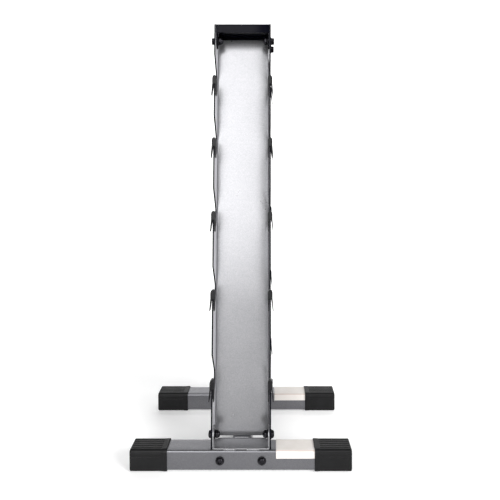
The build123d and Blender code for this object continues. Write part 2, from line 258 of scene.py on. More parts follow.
def noise(tree, place, size_mm, detail, roughness=0.5):
    """Cloudy 0..1 pattern whose broadest features are size_mm apart."""
    settings = {"Scale": per_metre(size_mm), "Detail": detail, "Roughness": roughness}
    return add_node(tree, "ShaderNodeTexNoise", {"Vector": place}, **settings).outputs["Fac"]


def mixed(tree, factor, first, second, blend="MIX"):
    """First and second blended by factor, each of the three a constant or another node's output."""
    inputs = {"s0": factor, "s6": first, "s7": second}
    return add_node(tree, "ShaderNodeMix", inputs, data_type="RGBA", blend_type=blend).outputs[2]


def bumped(tree, height, strength, depth_mm, under=None):
    """Normals tilted by a height pattern depth_mm deep, on top of the normals under it."""
    inputs = {"Height": height}
    if under is not None:
        inputs["Normal"] = under
    node = add_node(tree, "ShaderNodeBump", inputs, Strength=strength, Distance=depth_mm * MM)
    return node.outputs["Normal"]


def rim_share(tree):
    """The mesh's own attribute rim: one on rims and folds, zero on faces."""
    node = add_node(tree, "ShaderNodeAttribute", attribute_name="rim", attribute_type="GEOMETRY")
    return node.outputs["Fac"]


WHITE = (1.0, 1.0, 1.0, 1.0)
print("powder coat orange peel of 2.6 mm needs a scale of", round(per_metre(2.6), 1))

# %% [markdown]
# ** Silver powder coat.** Polyester powder with aluminium flakes, sprayed on and melted in an oven. The
# melt leaves a faint orange-peel ripple 2 to 3 mm across, the flakes glint in grains just under a
# millimetre wide, and hands leave slightly duller patches. The eye sees a satin grey that mirrors light
# softly. The feet and the stretcher get a darker copy of the same coat, painted shade, which sets them off
# from the panels. The black hook plates' inner faces get a pale grey copy with less flake: a painted
# highlight, which stays bright where little light reaches.

# %% Silver powder coat


PEEL_DEPTH = 0.012
FLAKE_GRAIN = 0.9


def powder_coat(name, base, flake, worn_tone, metallic, roughness, peel_mm=2.6, specular=0.5):
    """Powder coat: noise for the orange peel, fine cells for the flakes, broad noise for dull patches, and
    paler worn rims where the mesh carries the attribute rim."""
    material, tree, shader = new_material(name)
    place = object_place(tree)
    patches = noise(tree, place, 70, 4.0, 0.6)
    peel = noise(tree, place, peel_mm, 2.0, 0.45)
    grain = noise(tree, place, 0.7, 2.0, 0.6)
    flakes = add_node(tree, "ShaderNodeTexVoronoi", {"Vector": place}, Scale=per_metre(FLAKE_GRAIN))
    tint = ramp(tree, flakes.outputs["Color"], 0.15, 0.85, linear(base), linear(flake))
    handled = ramp(tree, patches, 0.3, 0.7, (0.93, 0.93, 0.93, 1.0), WHITE)
    wear = {"s0": rim_share(tree), "s1": spread_of(tree, grain, -0.1, 0.5)}
    worn = add_node(tree, "ShaderNodeMath", wear, operation="MULTIPLY").outputs[0]
    colour = mixed(tree, worn, mixed(tree, 1.0, tint, handled, "MULTIPLY"), linear(worn_tone))
    tree.links.new(colour, shader.inputs["Base Color"])
    shader.inputs["Metallic"].default_value = metallic
    shader.inputs["Specular IOR Level"].default_value = specular
    satin = spread_of(tree, patches, roughness - 0.05, roughness + 0.07)
    tree.links.new(satin, shader.inputs["Roughness"])
    ripple = bumped(tree, peel, 0.35, PEEL_DEPTH)
    tree.links.new(bumped(tree, grain, 0.25, 0.03, ripple), shader.inputs["Normal"])
    return material


silver_coat = powder_coat("satin_silver_powder_coat", "#828285", "#929294", "#b4b4b6", 0.72, 0.28)
# painted shade: the feet, the stretcher and its flanges get this darker copy of the panels' silver
foot_painted_shade_coat = powder_coat("silver_powder_coat_painted_shade", "#66666a", "#747477", "#a8a8ab", 0.78, 0.3)
# painted highlight: a pale grey for the inner faces of the black hook plates
plate_inside_painted_highlight = powder_coat("black_plate_inside_painted_highlight", "#c4c4c8", "#d2d2d6", "#dcdcde", 0.2, 0.3)
print(silver_coat.name, len(silver_coat.node_tree.nodes), "nodes")

# %% [markdown]
# **Black powder coat.** The same process with a black polyester powder and no flakes. It is glossier, so
# the peel shows as wobbling highlights, and the thin coat over the plates' edges wears a little paler.

# %% Black powder coat
black_coat = powder_coat(
    "gloss_black_powder_coat", "#06060c", "#090912", "#1b1b22", 0.0, 0.14, peel_mm=2.2, specular=0.05
)
print(black_coat.name, len(black_coat.node_tree.nodes), "nodes")

# %% [markdown]
# **Moulded rubber.** The foot caps are soft black PVC rubber from a spark-eroded mould. The mould's grain
# of about 0.8 mm scatters light, so the caps are the dullest black here, with faint clouds of dust. The
# hook caps are a harder plastic from a finer mould, so they are a little smoother.

# %% Moulded rubber and plastic


MOULD_GRAIN_DEPTH = 0.04


def moulded(name, base, dust, roughness, grain_mm, specular):
    """Dull moulded skin: fine grain for the mould's texture, and broad noise for dust and handling."""
    material, tree, shader = new_material(name)
    place = object_place(tree)
    grain = noise(tree, place, grain_mm, 3.0, 0.65)
    clouds = noise(tree, place, 28, 5.0, 0.7)
    colour = ramp(tree, clouds, 0.42, 0.72, linear(base), linear(dust))
    tree.links.new(colour, shader.inputs["Base Color"])
    shader.inputs["Specular IOR Level"].default_value = specular
    dull = spread_of(tree, grain, roughness - 0.08, roughness + 0.1)
    tree.links.new(dull, shader.inputs["Roughness"])
    tree.links.new(bumped(tree, grain, 0.5, MOULD_GRAIN_DEPTH), shader.inputs["Normal"])
    return material


black_rubber = moulded("moulded_black_rubber", "#080809", "#101012", 0.45, 0.8, 0.22)
black_plastic = moulded("moulded_black_polyethylene", "#08080a", "#0f0f12", 0.36, 0.6, 0.2)
print(black_rubber.name, "and", black_plastic.name)

# %% [markdown]
# **Black zinc.** The bolts, washers and nuts are zinc plated and blackened. The skin is thin and metallic,
# with a slow change of tint and a fine grain of scratches that breaks up its highlights.

# %% Black zinc


def black_zinc_finish():
    """Metallic black with a slow change of tint and a fine scratchy grain."""
    material, tree, shader = new_material("black_zinc_plating")
    place = object_place(tree)
    tint = noise(tree, place, 6, 3.0)
    scratch = noise(tree, place, 0.5, 4.0, 0.7)
    colour = ramp(tree, tint, 0.3, 0.7, linear("#1d1d20"), linear("#2c2b2f"))
    tree.links.new(colour, shader.inputs["Base Color"])
    shader.inputs["Metallic"].default_value = 0.9
    tree.links.new(spread_of(tree, scratch, 0.14, 0.3), shader.inputs["Roughness"])
    tree.links.new(bumped(tree, scratch, 0.2, 0.03), shader.inputs["Normal"])
    return material


black_zinc = black_zinc_finish()
print(black_zinc.name)

# %% [markdown]
# ** Label film.** A self-adhesive sheet of warm white paper-faced film. Paper fibres of about 1 mm give it a
# faint mottle, it is duller than the paint around it, and a darker band along the crease over the corner is
# painted shade.

# %% Label film


def label_film_finish():
    """Warm white with fibre mottle, slight clouds, painted shade along the crease and a dull satin surface.
    """
    material, tree, shader = new_material("warm_white_label_film")
    place = object_place(tree)
    fibre = noise(tree, place, 1.1, 5.0, 0.75)
    clouds = noise(tree, place, 22, 2.0)
    paper = ramp(tree, clouds, 0.3, 0.75, linear("#dfdad6"), linear("#d8d2cd"))
    mottle = ramp(tree, fibre, 0.3, 0.7, (0.95, 0.95, 0.94, 1.0), WHITE)
    sheet = mixed(tree, 1.0, paper, mottle, "MULTIPLY")
    # painted shade: a darker pinkish grey where the rim attribute marks the crease
    crease_painted_shade = mixed(tree, rim_share(tree), sheet, linear("#b79d94"))
    tree.links.new(crease_painted_shade, shader.inputs["Base Color"])
    tree.links.new(spread_of(tree, clouds, 0.42, 0.58), shader.inputs["Roughness"])
    tree.links.new(bumped(tree, fibre, 0.25, 0.04), shader.inputs["Normal"])
    return material


label_film = label_film_finish()


def paper_floor_finish():
    """White studio paper with a very faint cloudiness and a little light of its own."""
    material, tree, shader = new_material("white_studio_paper")
    clouds = add_node(tree, "ShaderNodeTexNoise", {"Vector": object_place(tree)}, Scale=0.7, Detail=3.0)
    paper = ramp(tree, clouds.outputs["Fac"], 0.2, 0.8, linear("#f6f6f6"), linear("#fafafa"))
    tree.links.new(paper, shader.inputs["Base Color"])
    shader.inputs["Roughness"].default_value = 0.85
    shader.inputs["Emission Color"].default_value = WHITE
    shader.inputs["Emission Strength"].default_value = 0.18
    return material


floor.data.materials.append(paper_floor_finish())
print(label_film.name, "and the floor's paper")

# %% [markdown]
# ## Mesh helpers
# Most of the rack is sheet metal, so one idea does most of the work: draw the outline, round its corners
# with arcs, and carry it through the sheet's thickness with a small rounding at both rims. The rims matter,
# because the thin bright lines that light draws along them are what makes metal look like metal.

# %% Outlines


def unit(vectors):
    """Vectors divided by their own lengths."""
    return vectors / np.linalg.norm(vectors, axis=-1, keepdims=True)


def rounded(corners, steps=9):
    """Closed outline through corners (x, y, radius). Each corner becomes an arc that touches both sides.
    Its centre is on the bisector, radius / sin(half the corner's angle) away, and its points turn evenly
    from one touching point to the other."""
    corners = np.asarray(corners, float)
    point, radius = corners[:, :2], corners[:, 2:3]
    back = unit(np.roll(point, 1, 0) - point)
    ahead = unit(np.roll(point, -1, 0) - point)
    half = np.arccos(np.clip((back * ahead).sum(1, keepdims=True), -1, 1)) / 2
    reach = radius / np.tan(half)
    centre = point + unit(back + ahead) * radius / np.sin(half)
    start = (point + back * reach - centre)[:, None]
    end = (point + ahead * reach - centre)[:, None]
    turn = (np.pi - 2 * half)[:, None]
    t = np.linspace(0, 1, steps)[None, :, None]
    arc = (np.sin((1 - t) * turn) * start + np.sin(t * turn) * end) / np.sin(turn)
    outline = (centre[:, None] + arc).reshape(-1, 2)
    gap = np.linalg.norm(np.roll(outline, -1, 0) - outline, axis=1)
    return outline[gap > 1e-3]


def densified(outline, step):
    """The same closed outline with extra points, so that no two neighbours are further apart than step."""
    loop = np.vstack([outline, outline[:1]])
    run = np.concatenate([[0], np.cumsum(np.linalg.norm(np.diff(loop, axis=0), axis=1))])
    more = np.arange(0, run[-1], step)
    near = np.abs(more[:, None] - run[None, :]).min(1) < step / 3
    places = np.sort(np.concatenate([run[:-1], more[~near]]))
    return np.stack([np.interp(places, run, loop[:, axis]) for axis in (0, 1)], axis=1)


def inward(outline):
    """Unit normals that point into a closed outline, whichever way round it runs."""
    along = np.roll(outline, -1, 0) - np.roll(outline, 1, 0)
    normal = unit(np.stack([-along[:, 1], along[:, 0]], axis=1))
    after = np.roll(outline, -1, 0)
    area = (outline[:, 0] * after[:, 1] - after[:, 0] * outline[:, 1]).sum()
    return normal * np.sign(area)


HOLD = 1.2


def slab(outline, low, high, edge, rows=2, steps=3):
    """Outline carried from depth low to high. At each rim the outline moves inwards by edge * (1 - sin a)
    while the depth moves by edge * (1 - cos a), a quarter circle; one more ring inside it holds the flat
    face's shading, so corners are rounded by more than HOLD * edge. Returns rings x points x (outline x,
    outline y, depth), and the rim share of each ring."""
    a = np.linspace(0, np.pi / 2, steps + 1)
    inset = np.concatenate([[HOLD], 1 - np.sin(a)]) * edge
    depth = np.concatenate([[0.0], 1 - np.cos(a)]) * edge
    middle = np.linspace(low + edge, high - edge, rows)[1:-1]
    insets = np.concatenate([inset, 0 * middle, inset[::-1]])
    depths = np.concatenate([low + depth, middle, high - depth[::-1]])
    flat = outline[None] + insets[:, None, None] * inward(outline)[None]
    deep = np.broadcast_to(depths[:, None, None], (len(depths), len(outline), 1))
    rings = np.concatenate([flat, deep], axis=2)
    worn = np.concatenate([[0.0], np.sin(2 * a), 0 * middle, np.sin(2 * a)[::-1], [0.0]])
    return rings, np.clip(worn, 0, 1)


def shell(rings, worn=None):
    """Closed shell from rings of points: sides between the rings, one face over each end."""
    count, around = rings.shape[:2]
    ends = [list(range(around))[::-1], list(range((count - 1) * around, count * around))]
    wear = np.zeros(count) if worn is None else worn
    return rings.reshape(-1, 3), grid_faces(count, around) + ends, np.repeat(wear, around)


def joined(shells):
    """Several shells as one: their points in a row, and each one's faces counted on from the last."""
    starts = np.concatenate([[0], np.cumsum([len(s[0]) for s in shells])[:-1]])
    faces = [[i + int(start) for i in face] for start, s in zip(starts, shells) for face in s[1]]
    return np.concatenate([s[0] for s in shells]), faces, np.concatenate([s[2] for s in shells])


def moved(one, change):
    """A shell with its points passed through change, a function of the points' columns x, y and z."""
    columns = change(*one[0].T)
    return np.stack([c + 0 * one[0][:, 0] for c in columns], axis=1), one[1], one[2]


def add_piece(name, parts, material, stands_for):
    """Turns shells in millimetres into one object at the origin that rides on the frame's only body and
    stands for the CAD nodes named. Doubles are merged and all faces turned outwards."""
    points, faces, worn = joined(parts)
    mesh = bpy.data.meshes.new(name)
    mesh.from_pydata((points * MM).tolist(), [], faces)
    rim = mesh.attributes.new("rim", "FLOAT", "POINT")
    rim.data.foreach_set("value", worn.astype(np.float32))
    work = bmesh.new()
    work.from_mesh(mesh)
    bmesh.ops.remove_doubles(work, verts=work.verts, dist=0.002 * MM)
    bmesh.ops.recalc_face_normals(work, faces=work.faces)
    work.to_mesh(mesh)
    work.free()
    mesh.shade_smooth()
    mesh.materials.append(material)
    made = bpy.data.objects.new(name, mesh)
    scene.collection.objects.link(made)
    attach(made, "root")
    if stands_for:
        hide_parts(*stands_for)
    return made


square = rounded([(0, 0, 2), (10, 0, 2), (10, 10, 2), (0, 10, 2)])
square_rings = slab(square, 0, 3, 0.4)[0]
print("a rounded square of", len(square), "points makes a slab of", len(square_rings), "rings")

# %% [markdown]
# ## Hook plates
# Each plate is 3 mm steel, laser cut and powder coated. Five J-shaped slots take the dumbbell handles: a
# finger in front keeps the handle in, a half round under it carries it, and the mouth opens upwards and
# outwards. The outline is drawn in the leaning leg's own directions and then laid into the frame. The
# faces that look at each other across the leg are black too, but carry a pale grey: a painted highlight.

# %% Hook plates
HOOK_TIPS = np.array([752.5, 628.5, 484.5, 333.5, 165.5])
FINGER = 9.0
CRADLE_R = 16.0
SLOT_BACK = -FINGER - 2 * CRADLE_R
SLOT_DEPTH = 30.0
SLOT_BACK_RISE = 6.0
MOUTH_RISE = 47.0


def on_leg(out, up):
    """Distance from the middle plane and height of a point that is out mm outside the leg's front edge
    and up mm along it: the leg's foot plus the two directions turned by the lean."""
    far = EDGE_FOOT + out * np.cos(LEAN) - up * np.sin(LEAN)
    high = LEG_LOW + out * np.sin(LEAN) + up * np.cos(LEAN)
    return far, high


def along_leg(height):
    """How far up the front edge a height is."""
    return (height - LEG_LOW) / np.cos(LEAN)


def hook_plate_outline():
    """Corners (distance from the middle, height, radius) of a plate with its five J-shaped slots."""
    slot_corners = [
        (0, 0, FINGER / 2),
        (-FINGER, 0, FINGER / 2),
        (-FINGER, -SLOT_DEPTH, CRADLE_R),
        (SLOT_BACK, -SLOT_DEPTH, CRADLE_R),
        (SLOT_BACK, SLOT_BACK_RISE, 12),
        (0, MOUTH_RISE, 6),
    ]
    back_foot = EDGE_FOOT - LEG_DEPTH / np.cos(LEAN)
    rise = LEG_LOW + (back_foot - CENTRE_GAP) / np.tan(LEAN)
    corners = [
        (EDGE_TOP, LEG_TOP, 4),
        (CENTRE_GAP, LEG_TOP, 1),
        (CENTRE_GAP, rise, 4),
        (back_foot, LEG_LOW, 4),
        (EDGE_FOOT, LEG_LOW, 1),
    ]
    for height in HOOK_TIPS[::-1]:
        tip = along_leg(height)
        corners += [(*on_leg(out, tip + up), radius) for out, up, radius in slot_corners]
    return rounded(corners)


plate_outline = hook_plate_outline()
plate_shell = shell(*slab(plate_outline, INNER_X, OUTER_X, 0.45))
for end, side in SIDES.items():
    for hand_name, hand in HANDS.items():
        name = f"{end}_{hand_name}_hook_plate"
        part = moved(plate_shell, lambda y, z, x: (hand * x, side * y, z))
        plate = add_piece(name + "_coated", [part], black_coat, [name])
        # painted highlight: the inner faces get the pale grey in place of the black coat
        plate.data.materials.append(plate_inside_painted_highlight)  # second material, for the inner face only
        normals = np.zeros(3 * len(plate.data.polygons), dtype=np.float32)
        plate.data.polygons.foreach_get("normal", normals)
        inside = (normals.reshape(-1, 3)[:, 0] * hand < -0.95).astype(np.int32)
        plate.data.polygons.foreach_set("material_index", inside)
print("hook plate outline:", len(plate_outline), "points,", len(plate_shell[1]), "faces")

# %% [markdown]
# ## Panels
# A shallow channel of 2 mm steel between each pair of plates, face outwards, with its long sides folded
# back. Thin sheet is never quite flat: slow waves of under a tenth of a millimetre bend what it mirrors,
# and the right-hand fold pulls the sheet's edge back by nearly two.

# %% Panels
PANEL_SET_BACK = 45.0
PANEL_WALL = 2.0
PANEL_BEND = 3.0
WAVE_HEIGHT = 0.03
CURL_START = 26.0
CURL = 0.0024


def panel_outline():
    """Channel section: distance across the rack and distance out of the leg, with a radius per corner."""
    out, back = -PANEL_SET_BACK, -LEG_DEPTH
    inner = INNER_X - PANEL_WALL
    corners = [
        (INNER_X, out, PANEL_BEND),
        (INNER_X, back, 0.5),
        (inner, back, 0.5),
        (inner, out - PANEL_WALL, PANEL_BEND - PANEL_WALL),
        (-inner, out - PANEL_WALL, PANEL_BEND - PANEL_WALL),
        (-inner, back, 0.5),
        (-INNER_X, back, 0.5),
        (-INNER_X, out, PANEL_BEND),
    ]
    return densified(rounded(corners), 6.0)


def panel_wave(x, z):
    """Slow unevenness of the sheet: three crossing waves about 170, 380 and 600 mm long, faded out at the
    folds as 1 - (x / INNER_X) ** 2, and a curl of CURL * (x - CURL_START) ** 2 at the right-hand fold."""
    wave = np.sin(z / 61 + x / 31) + 0.8 * np.sin(z / 27 - x / 44 + 1.3) + 0.6 * np.cos(z / 96 + x / 19)
    curl = np.clip(x - CURL_START, 0, None) ** 2
    return WAVE_HEIGHT * wave * np.clip(1 - (x / INNER_X) ** 2, 0, 1) - CURL * curl


for end, side in SIDES.items():
    name = f"{end}_panel"
    low, high = box_mm(name)
    rings, worn = slab(panel_outline(), low[2], high[2], 0.4, rows=90)

    def lean_back(x, out, z):
        """Across, out of the leg and height become across, depth and height on the leaning leg."""
        far = EDGE_FOOT + (out + panel_wave(x, z)) / np.cos(LEAN) - (z - LEG_LOW) * np.tan(LEAN)
        return x, side * far, z

    part = moved(shell(rings, worn), lean_back)
    panel = add_piece(name + "_coated", [part], silver_coat, [name])
    print(panel.name, len(panel.data.polygons), "faces, heights", np.round([low[2], high[2]], 1))

# %% [markdown]
# ## Head bracket
# One strip folded over the top: a flat top, a lip turned down at the front and the back, and four tabs that
# hang inside the hook plates and take the upper bolts. The strip is a bent path with a constant thickness;
# the tabs are slabs whose lower ends are half round.

# %% Bent strips


def bent_strip(corners, thickness, steps=9):
    """Outline of a strip bent along an open path of corners (x, y, radius). The outer side follows the
    corners, the inner side lies one thickness to the left of the path, with bends that share centres."""
    corners = np.asarray(corners, float)
    point = corners[:, :2]
    ahead = unit(np.diff(point, axis=0))
    before = np.vstack([ahead[:1], ahead])
    after = np.vstack([ahead, ahead[-1:]])
    left = unit(np.stack([-(before + after)[:, 1], (before + after)[:, 0]], axis=1))
    normal = np.stack([-after[:, 1], after[:, 0]], axis=1)
    shifted = point + left * thickness / (left * normal).sum(1, keepdims=True)
    inner_radius = np.maximum(corners[:, 2] - thickness, 0.4)
    inner_radius[[0, -1]] = corners[[0, -1], 2]
    inner = np.column_stack([shifted, inner_radius])[::-1]
    return rounded(np.vstack([corners, inner]), steps)


def tab_outline(middle, half, low, high):
    """Tab between two heights whose lower end is a half round."""
    corners = [(middle - half, high, 0.5), (middle + half, high, 0.5)]
    corners += [(middle + half, low, half - 0.01), (middle - half, low, half - 0.01)]
    return rounded(corners, 17)


LIP_DROP = 17.5
TAB_HALF = 15.0
HEAD_BOLT_Y = 28.0
bolt_low, bolt_high = box_mm("head_bolts")
head_bolt_z = (bolt_low[2] + bolt_high[2]) / 2
tab_low = head_low[2]
lip_bottom = LEG_TOP - LIP_DROP
strip = bent_strip(
    [
        (-head_high[1], lip_bottom, 0.6),
        (-head_high[1], LEG_TOP, BEND),
        (head_high[1], LEG_TOP, BEND),
        (head_high[1], lip_bottom, 0.6),
    ],
    -SHEET,
)
parts = [moved(shell(*slab(strip, -INNER_X, INNER_X, 0.4)), lambda y, z, x: (x, y, z))]
for side in SIDES.values():
    for hand in HANDS.values():
        tab = tab_outline(side * HEAD_BOLT_Y, TAB_HALF, tab_low, LEG_TOP - 1.2)
        tab = shell(*slab(tab, INNER_X - SHEET, INNER_X - 0.02, 0.4))
        parts.append(moved(tab, lambda y, z, x: (hand * x, y, z)))
add_piece("head_bracket_coated", parts, black_coat, ["head_bracket"])
print("head bracket strip:", len(strip), "points round its section, tabs down to", round(float(tab_low), 1))

# %% [markdown]
# ## Feet, stretcher and brackets
# The feet and the stretcher between them are 38 mm square tube with rolled corners. A flat bracket with
# two upright ears is welded on top of each foot and takes the leg's bolts.

# %% Tubes and flanges


def square_outline(size, radius, steps=9):
    """Square of that size about the origin with rounded corners."""
    half = size / 2
    corners = [(half, half), (-half, half), (-half, -half), (half, -half)]
    return rounded([(x, y, radius) for x, y in corners], steps)


FLANGE = 4.0
FLANGE_CORNER = 6.0
tube_outline = densified(square_outline(TUBE, TUBE_CORNER), 7.0)
for end, side in SIDES.items():
    name = f"{end}_foot_tube"
    low, high = box_mm(name)
    tube = shell(*slab(tube_outline, low[0], high[0], 0.5, rows=60))
    tube = moved(tube, lambda y, z, x: (x, side * FOOT_Y + y, TUBE_MID + z))
    add_piece(name + "_coated", [tube], foot_painted_shade_coat, [name])

low, high = box_mm("stretcher_tube")
tube = shell(*slab(tube_outline, low[1], high[1], 0.4, rows=30))
tube = moved(tube, lambda x, z, y: (x, y, TUBE_MID + z))
add_piece("stretcher_tube_coated", [tube], foot_painted_shade_coat, ["stretcher_tube"])
for end, side in SIDES.items():
    name = f"{end}_stretcher_flange"
    low, high = box_mm(name)
    corners = [(high[0], high[2]), (low[0], high[2]), (low[0], low[2]), (high[0], low[2])]
    flange = rounded([(x, z, FLANGE_CORNER) for x, z in corners])
    flange = shell(*slab(densified(flange, 8.0), low[1], high[1], 0.5))
    flange = moved(flange, lambda x, z, y: (x, y, z))
    add_piece(name + "_coated", [flange], foot_painted_shade_coat, [name])
print("tube section:", len(tube_outline), "points")

# %% Foot brackets
EAR_HALF = 16.0
for end, side in SIDES.items():
    name = f"{end}_foot_bracket"
    low, high = box_mm(name)
    base = bent_strip(
        [
            (-INNER_X, low[2] + 6, 0.6),
            (-INNER_X, low[2], BEND),
            (INNER_X, low[2], BEND),
            (INNER_X, low[2] + 6, 0.6),
        ],
        SHEET,
    )
    parts = [moved(shell(*slab(base, low[1], high[1], 0.4)), lambda x, z, y: (x, y, z))]
    for hand in HANDS.values():
        ear = tab_outline(side * FOOT_Y, EAR_HALF, -high[2], -low[2] - BEND)
        ear = shell(*slab(ear, INNER_X - SHEET - 0.03, INNER_X - 0.02, 0.4))
        parts.append(moved(ear, lambda y, z, x: (hand * x, y, -z)))
    bracket = add_piece(name + "_coated", parts, silver_coat, [name])
    print(bracket.name, "ears reach", round(float(high[2]), 1), "mm")

# %% [markdown]
# **Weld beads.** The brackets and the stretcher's flanges are welded before painting, so the beads wear
# the brackets' silver. A bead is a tube along the seam whose radius swells and shrinks with every drop of the
# weld, about 2.2 mm apart.

# %% Weld beads


WELD_STARTS = (-34.0, 10.0)
WELD_LENGTH = 24.0


def weld_bead(start, end, radius, drop=2.2, around=10):
    """Tube from start to end. Its radius is radius * (1 + 0.14 * |sin| of the drops + 0.06 * a slower sine),
    faded to nothing at both ends as a half circle is, and its line wanders by a quarter of a millimetre."""
    start, end = np.asarray(start, float), np.asarray(end, float)
    length = np.linalg.norm(end - start)
    s = np.linspace(0, length, int(length / drop * 5))[:, None]
    along = (end - start) / length
    side_way = unit(np.cross(along, [0.31, 0.52, 0.79]))
    up_way = np.cross(along, side_way)
    from_end = np.clip(1 - np.minimum(s, length - s) / (1.5 * radius), 0, 1)
    fade = np.sqrt(np.clip(1 - from_end**2, 0, 1))
    drops = 0.14 * np.abs(np.sin(np.pi * s / drop))
    wide = radius * (1 + drops + 0.06 * np.sin(s / 4.1 + start[0])) * fade
    turn = np.linspace(0, 2 * np.pi, around, endpoint=False)[None, :]
    drift = 0.25 * np.sin(s / 7.3 + start[1])
    ring = (np.cos(turn) * wide)[..., None] * side_way + (np.sin(turn) * wide)[..., None] * up_way
    return shell(start + s[..., None] * along + drift[..., None] * side_way + ring)


for end, side in SIDES.items():
    bracket_low, bracket_high = box_mm(f"{end}_foot_bracket")
    beads = []
    seam_z = TUBE_TOP + 0.5
    for y in (bracket_low[1], bracket_high[1]):
        for x in WELD_STARTS:
            beads.append(weld_bead((x, y, seam_z), (x + WELD_LENGTH, y, seam_z), 1.5))
    seam_y = side * (FOOT_Y - TUBE / 2 - FLANGE)
    half = TUBE / 2
    for x0, z0, x1, z1 in ((-1, 1, 1, 1), (1, 1, 1, -1), (1, -1, -1, -1), (-1, -1, -1, 1)):
        begin = np.array([x0 * half, seam_y, TUBE_MID + z0 * half])
        finish = np.array([x1 * half, seam_y, TUBE_MID + z1 * half])
        ways = (finish - begin) * 0.1
        beads.append(weld_bead(begin + ways, finish - ways, 1.7))
    welds = add_piece(f"{end}_foot_welds", beads, silver_coat, [])
    print(welds.name, len(welds.data.polygons), "faces")

# %% [markdown]
# ## Rubber foot caps
# Each end of a foot is pushed into a moulded rubber cap. It has lengthwise ribs on top and on the upper
# part of its sides, a thicker collar that flares slightly at the mouth, and small cross ridges near the
# closed end. The surface runs around a rounded square and along the cap. The collar and the ridges are
# heights added along the outward direction, and the ribs are what grooves taken from it leave standing.

# %% Foot caps
RIB_PITCH = 6.4
GROOVE_DEPTH = 1.1
GROOVE_HALF = 1.2
CAP_LENGTH = 70.0
CAP_WALL = 2.1
END_BEND = 2.4


def cap_profile():
    """Steps from the pocket's floor, out along its wall, over the mouth and along the outside to the middle
    of the closed end: distance from the mouth, distance from the tube's face, and how much ribs show."""
    wall = CAP_WALL
    mouth_turn = np.linspace(np.pi, 0, 7)
    inside = [(66, -0.05, 0), (30, -0.05, 0), (3, -0.05, 0), (1.3, 0.0, 0)]
    lip = [(1.3 - 1.3 * np.sin(a), (wall + 0.5) / 2 * (1 + np.cos(a)), 0) for a in mouth_turn]
    collar = [(3, wall + 0.48, 0), (6, wall + 0.36, 0), (8.6, wall + 0.32, 0), (9.5, wall + 0.2, 0)]
    collar += [(10.2, wall, 0), (11.0, wall, 0.4)]
    body = [(x, wall, 1) for x in np.linspace(12.0, 65.6, 44)]
    turn = np.linspace(0, np.pi / 2, 9)[1:]
    start = CAP_LENGTH - END_BEND
    end = [(start + END_BEND * np.sin(a), wall - END_BEND * (1 - np.cos(a)), 0.6 * np.cos(a)) for a in turn]
    face = [(CAP_LENGTH, wall - END_BEND - d, 0) for d in (0.8, 4, 8, 12, 15)]
    return np.array(inside + lip + collar + body + [(66.8, wall, 0.9)] + end + face)


def cap_rings(steps_around=420):
    """Rings of the cap: at each profile step a rounded square of half size TUBE / 2 + distance. Grooves are
    raised cosines GROOVE_DEPTH deep, one every RIB_PITCH, on the top and twice down each side. The cross
    ridges are two and a half low waves, 4 mm apart, low on the sides near the closed end."""
    profile = cap_profile()
    along, out, ribs = profile.T
    base = densified(square_outline(TUBE, TUBE_CORNER, 16), 4 * TUBE / steps_around)
    outwards = -inward(base)
    y, z = base.T
    flat_top = np.clip(outwards[:, 1], 0, 1) ** 6
    flat_side = np.abs(outwards[:, 0]) ** 6

    def groove(place):
        """One in the middle of the groove nearest to place, falling to zero GROOVE_HALF away."""
        distance = (place + RIB_PITCH / 2) % RIB_PITCH - RIB_PITCH / 2
        near = np.abs(distance) < GROOVE_HALF
        return np.where(near, 0.5 + 0.5 * np.cos(np.pi * distance / GROOVE_HALF), 0.0)

    top = groove(y) * flat_top * (np.abs(y) < 16)
    down = TUBE / 2 + CAP_WALL - z
    sides = groove(down) * flat_side * (down > 4) * (down < 15)
    wave = 0.18 * np.sin(2 * np.pi * (along - 55) / 4.0) * ((along > 55) & (along < 65))
    ridge = wave[:, None] * (flat_side * (down > 16))[None]
    height = out[:, None] - GROOVE_DEPTH * ribs[:, None] * (top + sides)[None] + ridge
    centre_share = np.clip(out + TUBE / 2, 0.05, None) / (TUBE / 2)
    inner = base[None] * np.minimum(1, centre_share)[:, None, None]
    section = np.where(out[:, None, None] < -1, inner, base[None] + height[..., None] * outwards[None])
    run = np.broadcast_to(along[:, None, None], section.shape[:2] + (1,))
    return np.concatenate([section, run], axis=2)


cap_shell = shell(cap_rings())
for end, side in SIDES.items():
    for hand_name, hand in HANDS.items():
        name = f"{end}_{hand_name}_foot_cap"
        low, high = box_mm(name)
        mouth = (high[0] if hand > 0 else -low[0]) - CAP_LENGTH
        cap = moved(cap_shell, lambda y, z, x: (hand * (mouth + x), side * FOOT_Y + y, TUBE_MID + z))
        add_piece(name + "_moulded", [cap], black_rubber, [name])
print("each cap has", len(cap_shell[1]), "faces, mouth", round(float(mouth), 1), "mm out")

# %% [markdown]
# ## Hook caps
# A moulded plastic cap sits on every finger so that handles don't chip the paint. Seen from the front it
# has a domed crown and two thin skirts that spread away from the plate.

# %% Hook caps


def hook_cap_shells():
    """Crown and skirts in the finger's own directions: across the plate, up, and out of the leg. The outline
    goes over the dome, down the outer skirt, back up its inner face and down again on the other side; it is
    carried through the finger's thickness with softly rounded rims."""
    half_dome = [(4.5, -4.0, 2.0), (3.8, -0.4, 3.2), (1.4, 2.5, 2.6)]
    dome = half_dome + [(-x, y, radius) for x, y, radius in half_dome[::-1]]
    inner_skirt = [(-4.5, -14, 20), (-4.0, -37.8, 0.55), (-2.7, -38.0, 0.55), (-2.1, -22, 20)]
    inner_skirt += [(-1.5, -15, 0.9)]
    outer_skirt = [(1.5, -15, 0.9), (2.9, -22, 20), (5.0, -38.0, 0.55), (6.35, -37.8, 0.55)]
    outer_skirt += [(4.5, -14, 20)]
    outline = densified(rounded(dome + inner_skirt + outer_skirt), 2.5)
    rings, worn = slab(outline, -9.6, 2.4, 0.45, rows=3, steps=4)
    return shell(rings, worn)


